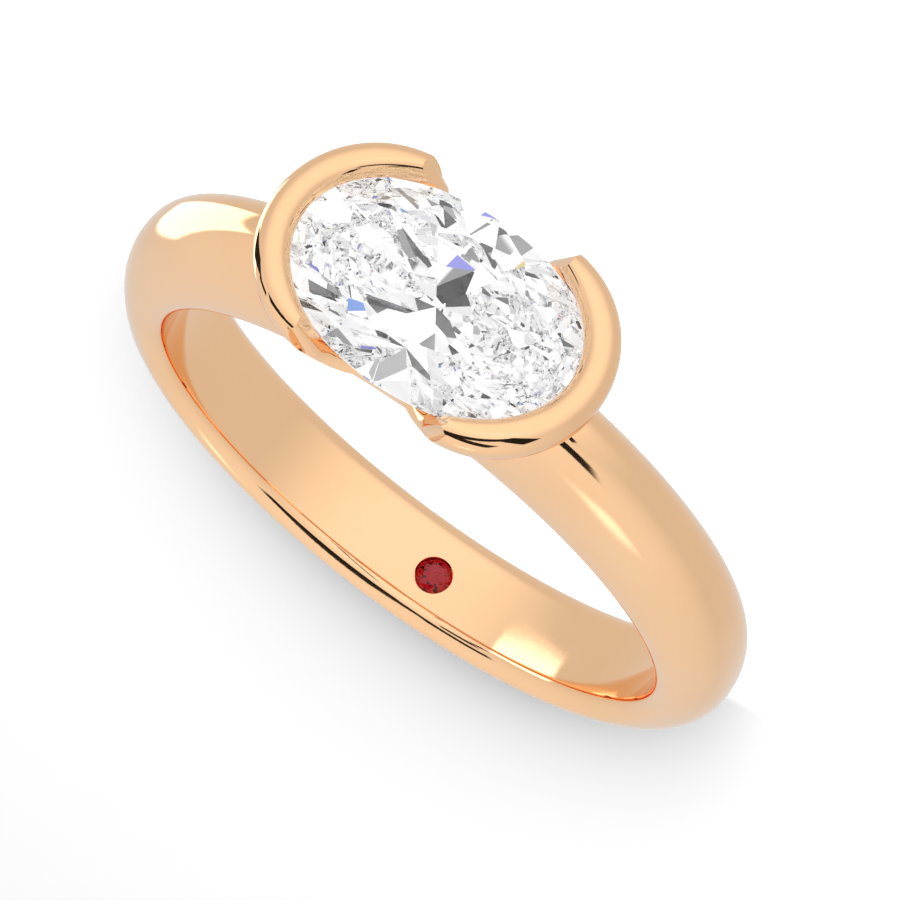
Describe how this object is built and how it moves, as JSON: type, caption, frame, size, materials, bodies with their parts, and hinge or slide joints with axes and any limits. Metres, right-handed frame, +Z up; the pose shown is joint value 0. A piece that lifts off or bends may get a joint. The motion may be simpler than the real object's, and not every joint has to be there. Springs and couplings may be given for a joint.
{
  "type": "ring",
  "caption": "Gold finger ring with an oval brilliant set lengthwise between two half bezel cups, and a small round red stone inside its domed band.",
  "frame": {"origin": "middle of the finger hole", "axes": "+Z up from the surface that the ring lies on, +Y from the finger hole towards the oval stone, +X along the oval stone's length"},
  "size_m": [0.02, 0.0237, 0.0058],
  "materials": {
    "gold": "polished peach coloured gold",
    "diamond": "clear faceted stone",
    "ruby": "red faceted stone"
  },
  "bodies": {
    "root": {"gold_ring": "gold", "oval_diamond": "diamond", "round_ruby": "ruby"}
  },
  "joints": []
}
